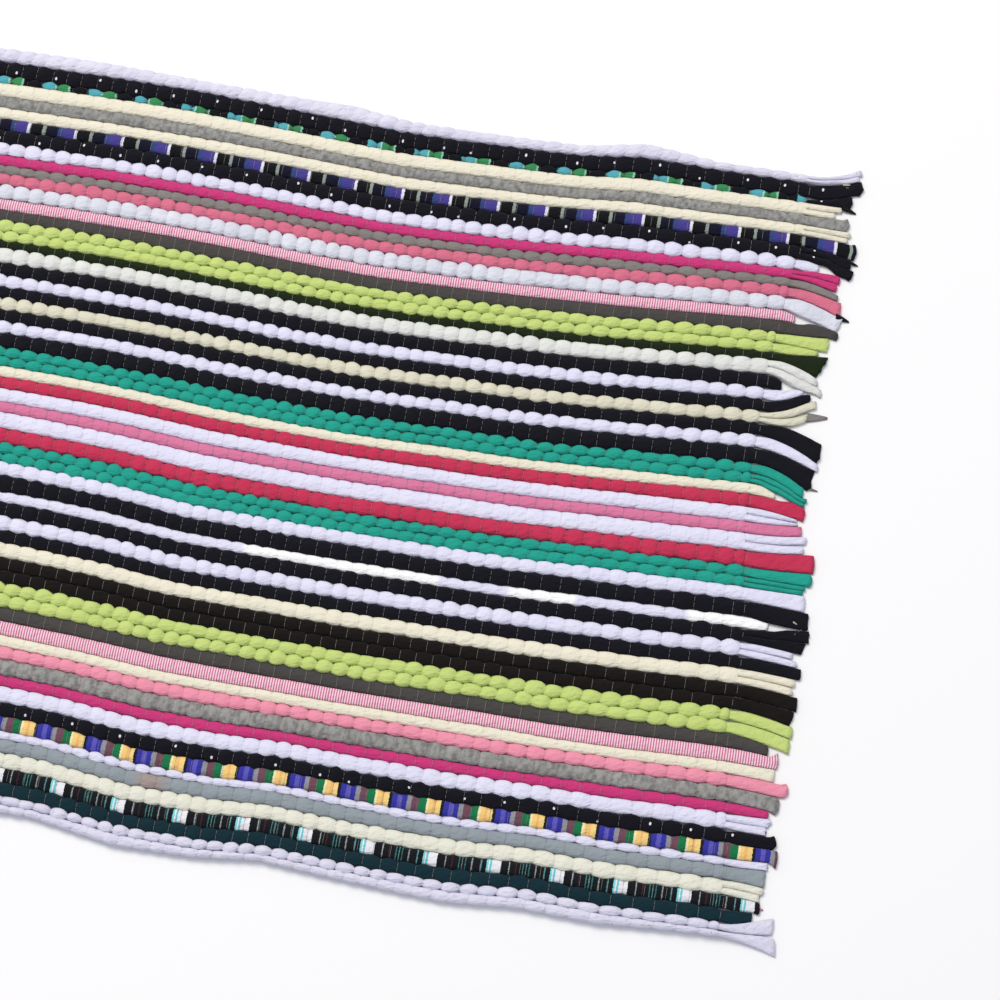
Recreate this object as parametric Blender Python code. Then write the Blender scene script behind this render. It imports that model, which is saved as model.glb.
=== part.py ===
# Rag rug, about 0.91 m long with its two fringes and 0.61 m wide, lying flat on its back.
# Metres, +Z up, +X along the rags, with the origin on the floor under the middle of the rug.
# The tables and driving sizes are in millimetres.
import math
import random
from collections import namedtuple

import bmesh
import bpy

MM = 0.001

# Middle of the whole rug in the tables' own measure. The origin lies under it.
MIDDLE_ALONG = 1.04
MIDDLE_ACROSS = 7.66

# Cloth
VALLEY_HEIGHT = 3.4
SIDE_HEIGHT = 2.0
SHOULDER_SHARES = (0.2, 0.8)
SHOULDER_LIFT = 0.72
LEFT_END = -408.5
LEFT_END_BOW = 4.0

# The rags lie in one long shallow wave: its rise, the place of its low point and its length.
BOW_RISE = 9.0
BOW_LOW_AT = 126.5
BOW_LENGTH = 620.0

# Fringe: its backing, and how far out from the backing the rag ends are set beside each other.
PARTING_GAP = 0.3
BACKING_DEPTH = 5.0
BACKING_HEIGHT = 3.6
FLAT_DEGREES = 0.05
OUT_STEPS = (12.0, 24.0, 36.0, 48.0)
SHORTEST_STEP = 1.0
ROOT_GAP = 1.0
STRAND_GAP = 0.6
THINNEST_STRAND = 1.5
PUSHES = 12
STRAND_RISE_SHARE = 0.8
TIP_HEIGHT = 2.6
BEND = 1.6

# Left fringe, which has the same rags cut by eye: range of reach, drift and tip width share.
LEFT_SEED = 7
LEFT_REACH = (30.0, 44.0)
LEFT_DRIFT = 4.0
LEFT_DRIFT_TURN = 0.55
LEFT_DRIFT_STRAY = 1.0
LEFT_TIP_SHARE = (0.55, 0.9)

# One row for each rag, from the far long edge to the near one. Reach is how far the cut end
# stands past the last binding thread on the right, drift how far it leans to the far side,
# and tip how wide it ends.
Stripe = namedtuple("Stripe", "name width rise reach drift tip")
STRIPES = [
    Stripe(*row)
    for row in (
        ("far edge white", 9.5, 8.0, 40, 12, 8),
        ("black dotted", 12.5, 6.5, 41, 9, 10),
        ("turquoise print", 5.5, 4.9, 35, 4, 12),
        ("cream", 12.0, 5.5, 27, 1, 13),
        ("grey melange", 10.0, 6.0, 34, 3, 12),
        ("cream", 10.0, 6.0, 36, -1, 9),
        ("purple print", 9.5, 6.0, 43, -2, 12),
        ("black dotted", 11.0, 6.5, 43, -9, 15),
        ("white", 10.0, 6.5, 18, 0, 4),
        ("magenta", 8.5, 5.5, 36, -2, 9),
        ("taupe", 7.5, 5.5, 37, -8, 2),
        ("pink", 9.0, 6.0, 41, -8, 11),
        ("white", 11.5, 6.5, 43, -11, 11),
        ("pink stripe", 9.0, 4.5, 10, -4, 2),
        ("charcoal", 10.0, 4.5, 45, 0, 4),
        ("lime", 8.0, 6.5, 40, 1, 10),
        ("lime", 8.0, 6.5, 34, 0, 4),
        ("dark green", 6.5, 5.0, 40, 0, 17),
        ("off white", 11.5, 7.0, 42, -14, 13),
        ("black", 10.5, 6.5, 12, -3, 2),
        ("white", 9.5, 6.5, 29, 5, 2),
        ("black", 9.0, 6.0, 35, 15, 6),
        ("cream", 9.5, 6.5, 40, 13, 13),
        ("black", 9.5, 6.5, 48, -12, 12),
        ("white", 9.5, 6.5, 48, -14, 4),
        ("black", 12.0, 6.5, 45, -12, 14),
        ("teal", 7.5, 6.0, 40, -14, 7),
        ("teal", 7.5, 6.0, 43, -13, 6),
        ("cream", 8.5, 5.0, 19, -4, 2),
        ("red", 9.5, 6.0, 42, -5, 11),
        ("white", 11.0, 6.0, 38, 0, 6),
        ("pink", 8.5, 5.5, 41, 4, 8),
        ("white", 13.0, 6.0, 44, 5, 13),
        ("red", 11.5, 6.5, 51, 4, 14),
        ("teal", 7.5, 6.0, 50, 2, 9),
        ("teal", 7.5, 6.0, 45, 0, 6),
        ("white", 10.5, 6.5, 45, 0, 13),
        ("black", 11.5, 6.5, 48, -1, 11),
        ("white", 8.5, 5.0, 19, -1, 2),
        ("black", 10.5, 6.5, 49, 1, 16),
        ("white", 10.5, 6.5, 42, -2, 9),
        ("black", 9.5, 5.5, 45, -3, 9),
        ("cream", 11.0, 6.0, 41, -1, 14),
        ("brown black", 9.5, 6.0, 45, -3, 10),
        ("brown black", 9.0, 6.0, 44, -5, 11),
        ("lime", 9.0, 6.5, 46, -6, 9),
        ("lime", 9.0, 6.5, 46, -6, 9),
        ("charcoal", 10.0, 4.5, 31, -5, 9),
        ("pink stripe", 10.5, 4.5, 37, 2, 12),
        ("cream", 8.5, 5.0, 34, -1, 9),
        ("salmon", 9.5, 6.0, 44, -1, 9),
        ("grey", 11.5, 6.5, 38, -2, 10),
        ("magenta", 8.0, 5.5, 30, 0, 4),
        ("white", 11.5, 6.0, 31, 0, 12),
        ("black dotted", 10.0, 6.0, 36, 0, 10),
        ("coloured print", 10.5, 6.0, 37, 0, 13),
        ("white", 6.0, 5.0, 30, 3, 7),
        ("blue grey", 10.0, 6.0, 29, 0, 11),
        ("ivory", 11.0, 6.0, 28, -2, 11),
        ("block print", 10.0, 6.0, 27, 0, 9),
        ("dark teal", 9.5, 6.0, 22, 4, 5),
        ("near edge white", 6.5, 7.0, 37, 7, 7),
        ("near edge white", 5.5, 7.5, 40, -4, 10),
    )
]

# Sections along the cloth: how far each long edge swells out there, and how far the rags at each
# place across lie to the near side of an even spacing.
SHIFT_PLACES = (285.0, 240.0, 165.0, 75.0, -45.0, -165.0, -285.0)
Section = namedtuple("Section", "along far_swell near_swell shifts")
SECTIONS = [
    Section(*row)
    for row in (
        (LEFT_END, 0.0, 0.0, (0.0, 0.0, 0.0, 0.0, 0.0, 0.0, 0.0)),
        (-290.0, 1.0, 1.5, (0.0, 0.0, 0.0, 0.0, 0.0, 0.0, 0.0)),
        (-185.0, 1.5, 2.0, (1.0, 0.0, 0.5, 0.5, -2.5, -1.5, 0.0)),
        (-75.0, 1.0, -2.5, (-1.0, -2.0, -1.0, 0.0, -1.0, -0.5, -2.0)),
        (-12.0, 2.0, 4.5, (-0.5, -2.5, -1.0, 0.5, 2.5, 1.5, 2.5)),
        (46.0, 4.0, 1.0, (0.0, -2.0, 0.0, 1.0, 1.0, 0.5, 0.5)),
        (90.0, -1.0, -5.5, (1.5, -1.0, 0.0, 1.0, 0.5, 0.0, -4.5)),
        (160.0, -1.0, -1.0, (0.5, -2.5, -1.5, -0.5, 0.5, 0.5, -1.5)),
        (225.0, -1.0, 3.5, (0.5, -3.5, -2.5, 0.5, 2.0, 2.0, 1.5)),
        (276.0, 6.5, 1.5, (-4.0, -5.5, -3.0, 0.0, 2.0, 5.0, -0.5)),
        (331.0, -2.0, 5.5, (-0.5, -4.5, -5.0, -1.5, 3.0, 6.0, 4.0)),
        (403.0, -4.5, 2.5, (1.0, -4.0, -7.5, -4.0, 2.5, 5.5, 4.0)),
    )
]

# Line of the last binding thread on the right, from the near long edge to the far one.
Knot = namedtuple("Knot", "across along")
RIGHT_END = [
    Knot(*row)
    for row in (
        (-320.0, 418.0),
        (-240.0, 413.5),
        (-185.0, 407.5),
        (-150.0, 401.5),
        (-110.0, 405.0),
        (-50.0, 400.5),
        (0.0, 395.0),
        (50.0, 393.0),
        (130.0, 394.5),
        (190.0, 401.5),
        (250.0, 406.5),
        (320.0, 403.5),
    )
]


def to_metres(along, across, height):
    return ((along - MIDDLE_ALONG) * MM, (across - MIDDLE_ACROSS) * MM, height * MM)


# Value of a table's column between its rows, on straight lines.
def between(table, at, column):
    last = len(table) - 1
    for index in range(last):
        low = table[index]
        high = table[index + 1]
        if at <= high[0] or index == last - 1:
            share = (at - low[0]) / (high[0] - low[0])
            share = min(1.0, max(0.0, share))
            return low[column] + share * (high[column] - low[column])


def bow(along):
    turn = 2.0 * math.pi * (along - BOW_LOW_AT) / BOW_LENGTH
    return 0.5 * BOW_RISE * (1.0 - math.cos(turn))


def right_end(across):
    return between(RIGHT_END, across, 1)


def left_end(across):
    return LEFT_END - LEFT_END_BOW * math.cos(math.pi * across / half_width())


def half_width():
    return 0.5 * sum(stripe.width for stripe in STRIPES)


# Lines between the rags, from the far edge to the near one, before the wave.
def stripe_lines():
    lines = [half_width()]
    for stripe in STRIPES:
        lines.append(lines[-1] - stripe.width)
    return lines


# Points over the ribs, far edge first: place across and height.
def rib_points():
    lines = stripe_lines()
    points = [(lines[0], SIDE_HEIGHT)]
    for line, stripe in zip(lines, STRIPES):
        shoulder = VALLEY_HEIGHT + SHOULDER_LIFT * (stripe.rise - VALLEY_HEIGHT)
        points.append((line - SHOULDER_SHARES[0] * stripe.width, shoulder))
        points.append((line - 0.5 * stripe.width, stripe.rise))
        points.append((line - SHOULDER_SHARES[1] * stripe.width, shoulder))
        points.append((line - stripe.width, VALLEY_HEIGHT))
    points[-1] = (lines[-1], SIDE_HEIGHT)
    return points


def shift_in(section, across):
    return between(sorted(zip(SHIFT_PLACES, section.shifts)), across, 1)


# Where a place of the even spacing lies, with the wave, the rags' shift and the edges' swell.
def laid_across(section, along, across):
    lines = stripe_lines()
    far = max(0.0, (across - lines[1]) / (lines[0] - lines[1]))
    near = max(0.0, (lines[-2] - across) / (lines[-2] - lines[-1]))
    swell = far * section.far_swell - near * section.near_swell
    return across + bow(along) + swell - (1.0 - far - near) * shift_in(section, across)


def cloth_place(point, section):
    across, height = point
    if section is SECTIONS[0]:
        along = left_end(across)
    elif section is SECTIONS[-1]:
        along = right_end(across)
    else:
        along = section.along
    return to_metres(along, laid_across(section, along, across), height)


# A grid whose rows run along Y, far side first, with a wall down to the floor and a flat bottom.
def slab_from_grid(columns, rows, place):
    mesh = bmesh.new()
    bmesh.ops.create_grid(mesh, x_segments=columns - 1, y_segments=rows - 1, size=0.5)
    for vert in mesh.verts:
        column = round((vert.co.x + 0.5) * (columns - 1))
        row = round((0.5 - vert.co.y) * (rows - 1))
        vert.co = place(column, row)
    rim = [edge for edge in mesh.edges if edge.is_boundary]
    wall = bmesh.ops.extrude_edge_only(mesh, edges=rim)["geom"]
    for item in wall:
        if isinstance(item, bmesh.types.BMVert):
            item.co.z = 0.0
    hem = [edge for edge in mesh.edges if edge.is_boundary]
    bmesh.ops.edgeloop_fill(mesh, edges=hem)
    bmesh.ops.recalc_face_normals(mesh, faces=mesh.faces)
    return mesh


def cotton(name, colour):
    material = bpy.data.materials.new(name)
    material.use_nodes = True
    shader = material.node_tree.nodes["Principled BSDF"]
    shader.inputs["Base Color"].default_value = colour
    shader.inputs["Roughness"].default_value = 0.9
    shader.inputs["Metallic"].default_value = 0.0
    material.diffuse_color = colour
    return material


def add_object(name, mesh, material, collection):
    data = bpy.data.meshes.new(name)
    mesh.to_mesh(data)
    mesh.free()
    data.materials.append(material)
    piece = bpy.data.objects.new(name, data)
    collection.objects.link(piece)
    return piece


def add_cloth(collection):
    points = rib_points()
    mesh = slab_from_grid(
        len(SECTIONS), len(points), lambda column, row: cloth_place(points[row], SECTIONS[column])
    )
    material = cotton("Woven rags", (0.30, 0.28, 0.30, 1.0))
    return add_object("woven_cloth", mesh, material, collection)


# Places of the even spacing where each strand's far and near side leave the backing.
def strand_roots():
    lines = stripe_lines()
    roots = []
    for high, low in zip(lines, lines[1:]):
        roots.append((high - 0.5 * ROOT_GAP, low + 0.5 * ROOT_GAP))
    return roots


# Far and near side of each strand at the backing and at the steps out from it.
def strand_lines(roots, cuts):
    lines = [[root] for root in roots]
    before = 0.0
    for step in OUT_STEPS:
        present = [index for index, cut in enumerate(cuts) if cut.reach - BACKING_DEPTH > before]
        sides = [wanted_sides(roots[index], cuts[index], step) for index in present]
        push_apart(sides)
        for index, pair in zip(present, sides):
            lines[index].append(pair)
        before = step
    return lines


def wanted_sides(root, cut, out):
    share = min(1.0, out / (cut.reach - BACKING_DEPTH)) ** BEND
    middle = 0.5 * (root[0] + root[1]) + cut.drift
    far = root[0] + share * (middle + 0.5 * cut.tip - root[0])
    near = root[1] + share * (middle - 0.5 * cut.tip - root[1])
    return [far, near]


# Neighbours that would overlap give way to each other, and a last pass keeps them all apart.
def push_apart(sides):
    for _ in range(PUSHES):
        for upper, lower in zip(sides, sides[1:]):
            overlap = max(0.0, lower[0] + STRAND_GAP - upper[1])
            upper[1] += 0.5 * overlap
            lower[0] -= 0.5 * overlap
            upper[0] = max(upper[0], upper[1] + THINNEST_STRAND)
            lower[1] = min(lower[1], lower[0] - THINNEST_STRAND)
    limit = sides[0][0]
    for pair in sides:
        pair[0] = min(pair[0], limit)
        pair[1] = min(pair[1], pair[0] - THINNEST_STRAND)
        limit = pair[1] - STRAND_GAP


# Cut ends of the hidden left fringe, as uneven as those on the right.
def left_cuts():
    rng = random.Random(LEFT_SEED)
    cuts = []
    for stripe in STRIPES:
        reach = rng.uniform(*LEFT_REACH)
        drift = LEFT_DRIFT * math.sin(LEFT_DRIFT_TURN * len(cuts))
        drift += rng.uniform(-LEFT_DRIFT_STRAY, LEFT_DRIFT_STRAY)
        tip = stripe.width * rng.uniform(*LEFT_TIP_SHARE)
        cuts.append(stripe._replace(reach=reach, drift=drift, tip=tip))
    return cuts


def add_fringe(name, side, section, end_line, cuts, collection):
    marks = [mark for root in strand_roots() for mark in root]
    places = [laid_across(section, end_line(mark), mark) for mark in marks]

    def backing_place(column, row):
        outward = PARTING_GAP + column * BACKING_DEPTH
        return to_metres(end_line(marks[row]) + side * outward, places[row], BACKING_HEIGHT)

    mesh = slab_from_grid(2, len(marks), backing_place)
    front = front_faces(mesh, side)
    join_flat_faces(mesh, front)
    roots = list(zip(places[0::2], places[1::2]))
    lines = strand_lines(roots, cuts)
    for face, line, cut in zip(front[0::2], lines, cuts):
        draw_strand(mesh, face, side, line, cut)
    bmesh.ops.recalc_face_normals(mesh, faces=mesh.faces)
    material = cotton("Rag ends", (0.36, 0.33, 0.34, 1.0))
    return add_object(name, mesh, material, collection)


# Faces of the backing that look away from the cloth, far side first.
def front_faces(mesh, side):
    mesh.normal_update()
    faces = [face for face in mesh.faces if side * face.normal.x > 0.5]
    return sorted(faces, key=lambda face: -face.calc_center_median().y)


# The backing's top and back need no more faces than their shape has corners.
def join_flat_faces(mesh, kept):
    held_verts = {vert for face in kept for vert in face.verts}
    held_edges = {edge for face in kept for edge in face.edges}
    bmesh.ops.dissolve_limit(
        mesh,
        angle_limit=math.radians(FLAT_DEGREES),
        verts=[vert for vert in mesh.verts if vert not in held_verts],
        edges=[edge for edge in mesh.edges if edge not in held_edges],
    )


# One rag end: its face on the backing is drawn out step by step, level on the floor.
def draw_strand(mesh, face, side, line, cut):
    start = face.calc_center_median().x / MM + MIDDLE_ALONG
    whole = cut.reach - BACKING_DEPTH
    before = 0.0
    for step, low, high in zip(OUT_STEPS, line, line[1:]):
        if whole - before < SHORTEST_STEP:
            break
        out = min(step, whole)
        share = (out - before) / (step - before)
        far = low[0] + share * (high[0] - low[0])
        near = low[1] + share * (high[1] - low[1])
        root_height = STRAND_RISE_SHARE * cut.rise
        height = root_height + out / whole * (TIP_HEIGHT - root_height)
        face = bmesh.ops.extrude_discrete_faces(mesh, faces=[face])["faces"][0]
        centre = face.calc_center_median()
        for vert in face.verts:
            across = far if vert.co.y > centre.y else near
            top = vert.co.z > centre.z
            vert.co = to_metres(start + side * out, across, height if top else 0.0)
        before = step


def main():
    for item in list(bpy.data.objects):
        bpy.data.objects.remove(item, do_unlink=True)
    collection = bpy.data.collections.new("rag_rug")
    bpy.context.scene.collection.children.link(collection)
    add_cloth(collection)
    add_fringe("fringe_right", 1.0, SECTIONS[-1], right_end, STRIPES, collection)
    add_fringe("fringe_left", -1.0, SECTIONS[0], left_end, left_cuts(), collection)


main()
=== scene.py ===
# Rag rug: cut cotton rags woven side by side, bound by thin threads, with a fringe at each end.
# Tables and sizes are in millimetres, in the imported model's own layout.
import math
import random

import bmesh
import bpy
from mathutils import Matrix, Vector, noise


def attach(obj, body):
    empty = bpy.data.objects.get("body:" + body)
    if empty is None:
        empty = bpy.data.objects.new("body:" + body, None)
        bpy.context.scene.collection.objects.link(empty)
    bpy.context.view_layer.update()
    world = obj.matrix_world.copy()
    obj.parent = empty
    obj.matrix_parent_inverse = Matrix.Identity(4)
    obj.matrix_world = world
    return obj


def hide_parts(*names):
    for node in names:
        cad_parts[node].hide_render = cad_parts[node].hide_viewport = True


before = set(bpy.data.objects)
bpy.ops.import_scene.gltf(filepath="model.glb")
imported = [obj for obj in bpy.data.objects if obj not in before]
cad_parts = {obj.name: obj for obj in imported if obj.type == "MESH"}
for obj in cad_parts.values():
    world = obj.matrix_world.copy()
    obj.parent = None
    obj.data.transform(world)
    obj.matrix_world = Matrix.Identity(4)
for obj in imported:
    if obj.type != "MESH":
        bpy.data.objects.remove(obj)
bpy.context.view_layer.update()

mm = 0.001

# Camera, floor and light

cameraView = {
    "place": (0.32012, -0.64620, 1.78542),
    "tilt": 20.0,    # degrees from straight down
    "turn": 9.5985,  # degrees round the vertical
    "lens": 92.44,
    "sensor": 36.0,
}

studio = {
    "floorSize": 9.0,
    "floorColour": "#F8F8F8",
    "skyColour": "#F2F5FF",
    "skyStrength": 0.62,
    "keyPlace": (-1.9, 2.3, 4.6),
    "keyAim": (0.15, 0.0, 0.0),
    "keySize": 2.6,
    "keyPower": 205.0,
    "keyColour": "#FFF9F0",
}

cloth = {
    "middleAlong": 1.04,    # point of the tables that lies over the origin
    "middleAcross": 7.66,
    "leftEnd": -408.5,
    "leftEndBow": 4.0,
    "rightEnd": 402.0,      # middle of the right end line, where the threads are counted to
    "bowRise": 9.0,         # the rags lie in one long shallow wave
    "bowLowAt": 126.5,
    "bowLength": 620.0,
    "wander": 0.6,          # how far a line between two rags strays
    "wanderLength": 70.0,
    "threadStray": 1.5,     # how far a binding thread strays along the rug
    "endPull": 0.45,        # share of the length over which the threads turn towards an end line
    "bulge": 0.85,          # a lump's swell past its row at each side, where lump is 1
    "swells": (0.35, 1.3),  # shares of that swell that a lump may have
    "rises": (0.95, 1.03),  # shares of its rag's rise that a lump may have
    "slide": 0.35,          # how far a lump may lie to one side
    "lumpChange": 60.0,     # over what length its lumps change
    "lumpMean": 0.95,       # share of its lump that a rag has there, with its spread and limits
    "lumpSpread": 0.9,
    "lumpLimits": (0.3, 1.2),
    "pinch": 1.2,           # how far a binding thread draws each side in
    "lumpPower": 0.75,      # of a lump's outline: 0.5 is a half circle, 1 a flatter arc
    "cinchDrop": 0.32,      # share of the height that a thread presses down
    "undersideLift": 1.1,
    "pleat": 0.28,          # of the folds beside a thread
    "crumple": 0.65,        # of a lump's uneven surface
    "crumpleLength": 5.5,
    "roundness": 2.3,       # power of the rag's section: 2 is an ellipse
    "endRoundness": 3.0,    # and of a cut end's section
    "bandRows": 9,
    "stripsPerRag": 3,      # a rag's length lies in this many strips of the bake's map
    "stripMargins": (0.004, 0.08),  # shares of a strip left free at its ends and its sides
}

# Lump length along a rag, as the binding threads open out towards the right end.
lumpLengths = (
    (-408.5, 12.5), (-150.0, 12.2), (50.0, 11.2), (150.0, 11.8), (250.0, 13.0), (330.0, 14.5), (402.0, 14.5),
)

# Sections along the rug: how far the far edge swells out, how far the rows at each place across
# lie to the near side of even rows, and how far the near edge swells out.
sectionPlaces = (285.0, 240.0, 165.0, 75.0, -45.0, -165.0, -285.0)
sections = (
    (-408.5, 0.0, 0.0, 0.0, 0.0, 0.0, 0.0, 0.0, 0.0, 0.0),
    (-290.0, 1.0, 0.0, 0.0, 0.0, 0.0, 0.0, 0.0, 0.0, 1.5),
    (-185.0, 1.5, 1.0, 0.0, 0.5, 0.5, -2.5, -1.5, 0.0, 2.0),
    (-75.0, 1.0, -1.0, -2.0, -1.0, 0.0, -1.0, -0.5, -2.0, -2.5),
    (-12.0, 2.0, -0.5, -2.5, -1.0, 0.5, 2.5, 1.5, 2.5, 4.5),
    (46.0, 4.0, 0.0, -2.0, 0.0, 1.0, 1.0, 0.5, 0.5, 1.0),
    (90.0, -1.0, 1.5, -1.0, 0.0, 1.0, 0.5, 0.0, -4.5, -5.5),
    (160.0, -1.0, 0.5, -2.5, -1.5, -0.5, 0.5, 0.5, -1.5, -1.0),
    (225.0, -1.0, 0.5, -3.5, -2.5, 0.5, 2.0, 2.0, 1.5, 3.5),
    (276.0, 6.5, -4.0, -5.5, -3.0, 0.0, 2.0, 5.0, -0.5, 1.5),
    (331.0, -2.0, -0.5, -4.5, -5.0, -1.5, 3.0, 6.0, 4.0, 5.5),
    (403.0, -4.5, 1.0, -4.0, -7.5, -4.0, 2.5, 5.5, 4.0, 2.5),
)

# Line of the last binding thread on the right, from the near edge to the far one: across, along.
rightLine = (
    (-320.0, 418.0), (-240.0, 413.5), (-185.0, 407.5), (-150.0, 401.5), (-110.0, 405.0), (-50.0, 400.5),
    (0.0, 395.0), (50.0, 393.0), (130.0, 394.5), (190.0, 401.5), (250.0, 406.5), (320.0, 403.5),
)

# Rags from the far edge to the near one: cotton, width, rise, lump, lean, and the cut end's
# reach past the last thread, drift to the far side and tip width.
rags = (
    ("edgeWhite", 9.5, 8.0, 0.5, 0.5, 40, 12, 8),
    ("blackDotted", 12.5, 6.5, 1.1, 0.0, 41, 9, 10),
    ("turquoisePrint", 5.5, 4.9, 1.1, 0.0, 35, 4, 12),
    ("cream", 12.0, 5.5, 0.25, 0.0, 27, 1, 13),
    ("greyMelange", 10.0, 6.0, 0.5, 0.15, 34, 3, 12),
    ("cream", 10.0, 6.0, 0.3, 0.0, 36, -1, 9),
    ("purplePrint", 9.5, 6.0, 0.4, 0.0, 43, -2, 12),
    ("blackDotted", 11.0, 6.5, 0.8, 0.0, 43, -9, 15),
    ("lavenderWhite", 10.0, 6.5, 1.1, 0.0, 18, 0, 4),
    ("magenta", 8.5, 5.5, 0.35, 0.0, 36, -2, 9),
    ("taupe", 7.5, 5.5, 0.8, 0.0, 37, -8, 2),
    ("rosePink", 9.0, 6.0, 0.9, 0.0, 41, -8, 11),
    ("wrinkledWhite", 11.5, 6.5, 1.0, 0.0, 43, -11, 11),
    ("pinkStripe", 9.0, 4.5, 0.1, 0.0, 10, -4, 2),
    ("charcoal", 10.0, 4.5, 0.1, 0.0, 45, 0, 4),
    ("lime", 8.0, 6.5, 1.0, 0.25, 40, 1, 10),
    ("lime", 8.0, 6.5, 1.0, 0.25, 34, 0, 4),
    ("greenBlack", 6.5, 5.0, 0.5, 0.0, 40, 0, 17),
    ("offWhite", 11.5, 7.0, 0.9, 0.0, 42, -14, 13),
    ("black", 10.5, 6.5, 0.8, 0.0, 12, -3, 2),
    ("lavenderWhite", 9.5, 6.5, 0.9, 0.0, 29, 5, 2),
    ("black", 9.0, 6.0, 0.9, 0.0, 35, 15, 6),
    ("paleCream", 9.5, 6.5, 0.9, 0.0, 40, 13, 13),
    ("black", 9.5, 6.5, 1.0, 0.0, 48, -12, 12),
    ("lavenderWhite", 9.5, 6.5, 0.9, 0.1, 48, -14, 4),
    ("black", 12.0, 6.5, 1.0, 0.0, 45, -12, 14),
    ("teal", 7.5, 6.0, 1.0, 0.25, 40, -14, 7),
    ("teal", 7.5, 6.0, 1.0, 0.25, 43, -13, 6),
    ("cream", 8.5, 5.0, 0.2, 0.0, 19, -4, 2),
    ("red", 9.5, 6.0, 0.7, 0.0, 42, -5, 11),
    ("lavenderWhite", 11.0, 6.0, 0.3, 0.0, 38, 0, 6),
    ("pink", 8.5, 5.5, 0.3, 0.0, 41, 4, 8),
    ("lavenderWhite", 13.0, 6.0, 0.3, 0.0, 44, 5, 13),
    ("red", 11.5, 6.5, 0.9, 0.0, 51, 4, 14),
    ("teal", 7.5, 6.0, 1.0, 0.25, 50, 2, 9),
    ("teal", 7.5, 6.0, 1.0, 0.25, 45, 0, 6),
    ("lavenderWhite", 10.5, 6.5, 0.6, 0.0, 45, 0, 13),
    ("black", 11.5, 6.5, 1.0, 0.0, 48, -1, 11),
    ("bleachedWhite", 8.5, 5.0, 0.25, 0.0, 19, -1, 2),
    ("black", 10.5, 6.5, 1.1, 0.0, 49, 1, 16),
    ("lavenderWhite", 10.5, 6.5, 0.8, 0.0, 42, -2, 9),
    ("black", 9.5, 5.5, 0.8, 0.0, 45, -3, 9),
    ("cream", 11.0, 6.0, 0.5, 0.0, 41, -1, 14),
    ("brownBlack", 9.5, 6.0, 0.6, 0.0, 45, -3, 10),
    ("brownBlack", 9.0, 6.0, 0.5, 0.0, 44, -5, 11),
    ("lime", 9.0, 6.5, 1.0, 0.25, 46, -6, 9),
    ("lime", 9.0, 6.5, 1.0, 0.25, 46, -6, 9),
    ("charcoal", 10.0, 4.5, 0.1, 0.0, 31, -5, 9),
    ("pinkStripe", 10.5, 4.5, 0.1, 0.0, 37, 2, 12),
    ("cream", 8.5, 5.0, 0.15, 0.0, 34, -1, 9),
    ("salmon", 9.5, 6.0, 0.7, 0.0, 44, -1, 9),
    ("greyMelange", 11.5, 6.5, 0.5, 0.1, 38, -2, 10),
    ("magenta", 8.0, 5.5, 0.3, 0.0, 30, 0, 4),
    ("lavenderWhite", 11.5, 6.0, 0.6, 0.0, 31, 0, 12),
    ("blackDotted", 10.0, 6.0, 1.1, 0.0, 36, 0, 10),
    ("colouredPrint", 10.5, 6.0, 0.4, 0.0, 37, 0, 13),
    ("lavenderWhite", 6.0, 5.0, 0.7, 0.0, 30, 3, 7),
    ("blueGrey", 10.0, 6.0, 0.4, 0.0, 29, 0, 11),
    ("ivory", 11.0, 6.0, 0.6, 0.0, 28, -2, 11),
    ("blockPrint", 10.0, 6.0, 0.4, 0.0, 27, 0, 9),
    ("darkTeal", 9.5, 6.0, 0.7, 0.0, 22, 4, 5),
    ("edgeWhite", 6.5, 7.0, 1.0, 0.2, 37, 7, 7),
    ("edgeWhite", 5.5, 7.5, 0.3, 0.2, 40, -4, 10),
)

# Cottons

# Cut jersey and poplin: matt, fuzzy cotton, so light falls off softly and no shine shows.
jersey = {
    "shader": {
        "Roughness": 0.92, "IOR": 1.47, "Specular IOR Level": 0.15, "Sheen Weight": 0.06,
        "Sheen Roughness": 0.5,
    },
    "mottleSize": 18.0,     # of the slow change of shade
    "creaseSize": 5.0,      # of the soft creases in a lump
    "creaseDepth": 0.9,
    "pleatDepth": 2.0,      # of the pleats that a binding thread gathers
    "pleatScale": (190.0, 9.0, 1.0),    # of the pleats' noise: a metre of rag, and once round it
    "foldShare": 0.6,       # of that depth, in the middle of a lump
    "twist": 18.0,          # how far a fold runs along the rag in one turn round it
    "waleSpacing": 0.9,     # knitted columns
    "waleDepth": 0.04,
    "girth": 26.0,          # way round a rag
    # strength of the shade painted into the grooves, at the threads' cinches and on the underside
    "paintedGrooveShade": 0.42,
    "streakScale": (260.0, 6.0, 1.0),   # of the melange bars' noise, in the same way
    "lintScale": 420.0,     # of the grey flecks' noise and of the frayed print edges' noise, in a metre
    "frayScale": 900.0,
}
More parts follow.
